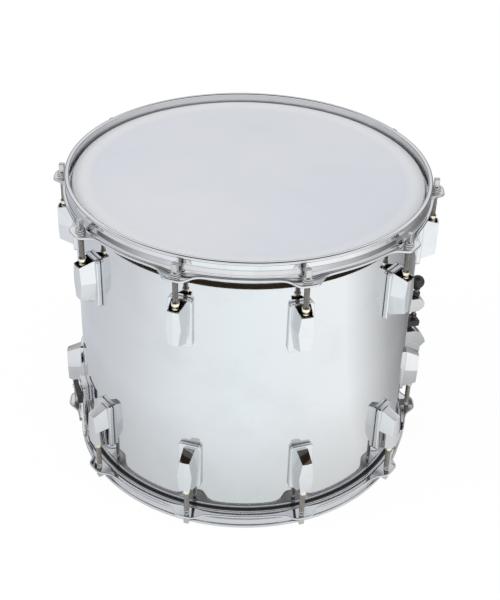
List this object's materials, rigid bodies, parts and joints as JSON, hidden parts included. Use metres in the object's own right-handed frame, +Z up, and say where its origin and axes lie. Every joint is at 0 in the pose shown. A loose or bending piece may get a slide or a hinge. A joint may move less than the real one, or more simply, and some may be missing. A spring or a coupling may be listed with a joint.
{
  "type": "marching snare drum",
  "caption": "Marching snare drum with a polished steel shell, flanged counter hoops, faceted lugs, turning key rods, film heads and a snare throw-off.",
  "frame": {"origin": "on the drum's axis, in the plane of the bottom hoop's bead that the drum stands on", "axes": "+Z up along the drum's axis from the snare side to the batter side; the throw-off stands half way between +X and +Y"},
  "size_m": [0.3966, 0.3948, 0.3232],
  "materials": {
    "shell_steel": "mirror-polished steel sheet",
    "chrome": "bright chrome plate",
    "rod_steel": "nickel-plated rolled thread",
    "brass": "plain turned brass",
    "aluminium": "satin aluminium",
    "head_film": "smooth white polyester film",
    "black_plastic": "moulded black plastic",
    "strap_plastic": "pale nylon strap",
    "snare_steel": "bright spiral steel wire",
    "gasket": "thin black gasket"
  },
  "bodies": {
    "drum": {"shell": "shell_steel", "vent_grommet": "chrome", "batter_head": "head_film", "batter_flesh_hoop": "aluminium", "batter_hoop": "chrome", "snare_side_head": "head_film", "snare_side_flesh_hoop": "aluminium", "snare_side_hoop": "chrome", "top_lug_01": "chrome", "top_lug_02": "chrome", "top_lug_03": "chrome", "top_lug_04": "chrome", "top_lug_05": "chrome", "top_lug_06": "chrome", "top_lug_07": "chrome", "top_lug_08": "chrome", "top_lug_09": "chrome", "top_lug_10": "chrome", "bottom_lug_01": "chrome", "bottom_lug_02": "chrome", "bottom_lug_03": "chrome", "bottom_lug_04": "chrome", "bottom_lug_05": "chrome", "bottom_lug_06": "chrome", "bottom_lug_07": "chrome", "bottom_lug_08": "chrome", "bottom_lug_09": "chrome", "bottom_lug_10": "chrome", "strainer_housing": "chrome", "butt_plate": "aluminium", "butt_clamp": "black_plastic", "butt_strap": "strap_plastic"},
    "top_rod_01": {"top_tension_rod_01": "rod_steel"},
    "top_rod_02": {"top_tension_rod_02": "rod_steel"},
    "top_rod_03": {"top_tension_rod_03": "rod_steel"},
    "top_rod_04": {"top_tension_rod_04": "rod_steel"},
    "top_rod_05": {"top_tension_rod_05": "rod_steel"},
    "top_rod_06": {"top_tension_rod_06": "rod_steel"},
    "top_rod_07": {"top_tension_rod_07": "rod_steel"},
    "top_rod_08": {"top_tension_rod_08": "rod_steel"},
    "top_rod_09": {"top_tension_rod_09": "rod_steel"},
    "top_rod_10": {"top_tension_rod_10": "rod_steel"},
    "bottom_rod_01": {"bottom_tension_rod_01": "rod_steel"},
    "bottom_rod_02": {"bottom_tension_rod_02": "rod_steel"},
    "bottom_rod_03": {"bottom_tension_rod_03": "rod_steel"},
    "bottom_rod_04": {"bottom_tension_rod_04": "rod_steel"},
    "bottom_rod_05": {"bottom_tension_rod_05": "rod_steel"},
    "bottom_rod_06": {"bottom_tension_rod_06": "rod_steel"},
    "bottom_rod_07": {"bottom_tension_rod_07": "rod_steel"},
    "bottom_rod_08": {"bottom_tension_rod_08": "rod_steel"},
    "bottom_rod_09": {"bottom_tension_rod_09": "rod_steel"},
    "bottom_rod_10": {"bottom_tension_rod_10": "rod_steel"},
    "lever": {"strainer_lever": "chrome"},
    "slide": {"strainer_slide": "chrome", "strainer_strap_clamp": "black_plastic", "strainer_strap": "strap_plastic"},
    "adjuster": {"adjuster_screw": "black_plastic"},
    "lock_nut": {"adjuster_lock_nut": "black_plastic"},
    "snares": {"snare_wires": "snare_steel"}
  },
  "joints": [
    {"name": "top_rod_01_turn", "type": "hinge", "parent": "drum", "child": "top_rod_01", "pos_m": [0.17009, 0.08667, 0.29], "axis": [0, 0, 1], "continuous": true},
    {"name": "top_rod_02_turn", "type": "hinge", "parent": "drum", "child": "top_rod_02", "pos_m": [0.08667, 0.17009, 0.29], "axis": [0, 0, 1], "continuous": true},
    {"name": "top_rod_03_turn", "type": "hinge", "parent": "drum", "child": "top_rod_03", "pos_m": [-0.02986, 0.18855, 0.29], "axis": [0, 0, 1], "continuous": true},
    {"name": "top_rod_04_turn", "type": "hinge", "parent": "drum", "child": "top_rod_04", "pos_m": [-0.13499, 0.13499, 0.29], "axis": [0, 0, 1], "continuous": true},
    {"name": "top_rod_05_turn", "type": "hinge", "parent": "drum", "child": "top_rod_05", "pos_m": [-0.18855, 0.02986, 0.29], "axis": [0, 0, 1], "continuous": true},
    {"name": "top_rod_06_turn", "type": "hinge", "parent": "drum", "child": "top_rod_06", "pos_m": [-0.17009, -0.08667, 0.29], "axis": [0, 0, 1], "continuous": true},
    {"name": "top_rod_07_turn", "type": "hinge", "parent": "drum", "child": "top_rod_07", "pos_m": [-0.08667, -0.17009, 0.29], "axis": [0, 0, 1], "continuous": true},
    {"name": "top_rod_08_turn", "type": "hinge", "parent": "drum", "child": "top_rod_08", "pos_m": [0.02986, -0.18855, 0.29], "axis": [0, 0, 1], "continuous": true},
    {"name": "top_rod_09_turn", "type": "hinge", "parent": "drum", "child": "top_rod_09", "pos_m": [0.13499, -0.13499, 0.29], "axis": [0, 0, 1], "continuous": true},
    {"name": "top_rod_10_turn", "type": "hinge", "parent": "drum", "child": "top_rod_10", "pos_m": [0.18855, -0.02986, 0.29], "axis": [0, 0, 1], "continuous": true},
    {"name": "bottom_rod_01_turn", "type": "hinge", "parent": "drum", "child": "bottom_rod_01", "pos_m": [0.16549, 0.09516, 0.03], "axis": [0, 0, 1], "continuous": true},
    {"name": "bottom_rod_02_turn", "type": "hinge", "parent": "drum", "child": "bottom_rod_02", "pos_m": [0.07795, 0.17426, 0.03], "axis": [0, 0, 1], "continuous": true},
    {"name": "bottom_rod_03_turn", "type": "hinge", "parent": "drum", "child": "bottom_rod_03", "pos_m": [-0.03936, 0.1868, 0.03], "axis": [0, 0, 1], "continuous": true},
    {"name": "bottom_rod_04_turn", "type": "hinge", "parent": "drum", "child": "bottom_rod_04", "pos_m": [-0.14164, 0.12798, 0.03], "axis": [0, 0, 1], "continuous": true},
    {"name": "bottom_rod_05_turn", "type": "hinge", "parent": "drum", "child": "bottom_rod_05", "pos_m": [-0.18982, 0.02029, 0.03], "axis": [0, 0, 1], "continuous": true},
    {"name": "bottom_rod_06_turn", "type": "hinge", "parent": "drum", "child": "bottom_rod_06", "pos_m": [-0.16549, -0.09516, 0.03], "axis": [0, 0, 1], "continuous": true},
    {"name": "bottom_rod_07_turn", "type": "hinge", "parent": "drum", "child": "bottom_rod_07", "pos_m": [-0.07795, -0.17426, 0.03], "axis": [0, 0, 1], "continuous": true},
    {"name": "bottom_rod_08_turn", "type": "hinge", "parent": "drum", "child": "bottom_rod_08", "pos_m": [0.03936, -0.1868, 0.03], "axis": [0, 0, 1], "continuous": true},
    {"name": "bottom_rod_09_turn", "type": "hinge", "parent": "drum", "child": "bottom_rod_09", "pos_m": [0.14164, -0.12798, 0.03], "axis": [0, 0, 1], "continuous": true},
    {"name": "bottom_rod_10_turn", "type": "hinge", "parent": "drum", "child": "bottom_rod_10", "pos_m": [0.18982, -0.02029, 0.03], "axis": [0, 0, 1], "continuous": true},
    {"name": "throw_off", "type": "hinge", "parent": "drum", "child": "lever", "pos_m": [0.14708, 0.14708, 0.063], "axis": [-0.7071, 0.7071, 0], "range_deg": [0, 90]},
    {"name": "slide_drop", "type": "slide", "parent": "drum", "child": "slide", "axis": [0, 0, -1], "range_m": [0, 0.0016]},
    {"name": "adjuster_turn", "type": "hinge", "parent": "slide", "child": "adjuster", "pos_m": [0.1446, 0.1446, 0.153], "axis": [0, 0, 1], "continuous": true},
    {"name": "lock_nut_turn", "type": "hinge", "parent": "slide", "child": "lock_nut", "pos_m": [0.1446, 0.1446, 0.137], "axis": [0, 0, 1], "continuous": true},
    {"name": "snare_drop", "type": "hinge", "parent": "drum", "child": "snares", "pos_m": [-0.11356, -0.11356, 0.0064], "axis": [-0.7071, 0.7071, 0], "range_deg": [0, 0.286]}
  ],
  "couplings": [
    {"joint": "slide_drop", "follows": "throw_off", "m_per_rad": 0.0010186},
    {"joint": "snare_drop", "follows": "throw_off", "ratio": 0.00317}
  ]
}
